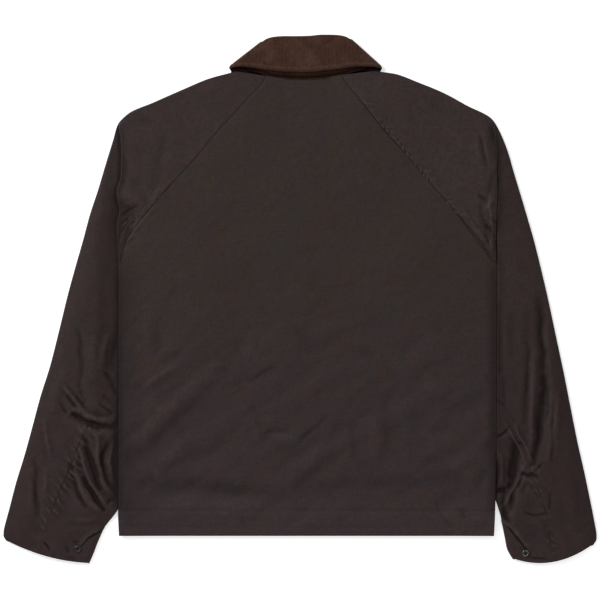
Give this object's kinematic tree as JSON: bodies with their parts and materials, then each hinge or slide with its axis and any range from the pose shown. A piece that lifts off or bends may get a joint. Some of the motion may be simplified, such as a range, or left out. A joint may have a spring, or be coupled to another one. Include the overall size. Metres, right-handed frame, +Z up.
{
  "type": "waxed cotton jacket",
  "caption": "Cropped boxy jacket of waxed cotton with raglan sleeves and a corduroy collar, laid flat on its front with its back facing up.",
  "frame": {"origin": "centre of the whole jacket's footprint, on the surface it lies on", "axes": "+Z up from the surface the jacket lies on, toward its back; +Y from the hem to the collar; +X from the wearer's left sleeve to the wearer's right sleeve"},
  "size_m": [0.8614, 0.7668, 0.0131],
  "materials": {
    "waxed_cotton": "soft waxy sheen over a fine plain weave, mottled dark brown",
    "corduroy": "fine-wale dark brown corduroy, matt",
    "stud_metal": "aged brass, dull"
  },
  "bodies": {
    "root": {"back": "waxed_cotton", "front_left": "waxed_cotton", "front_right": "waxed_cotton", "sleeve_left": "waxed_cotton", "sleeve_right": "waxed_cotton", "undersleeve_left": "waxed_cotton", "undersleeve_right": "waxed_cotton", "collar_leaf": "corduroy", "collar_stand": "corduroy", "cuff_stud_left": "stud_metal", "cuff_stud_right": "stud_metal", "front_stud_1": "stud_metal", "front_stud_2": "stud_metal", "front_stud_3": "stud_metal", "front_stud_4": "stud_metal"}
  },
  "joints": []
}
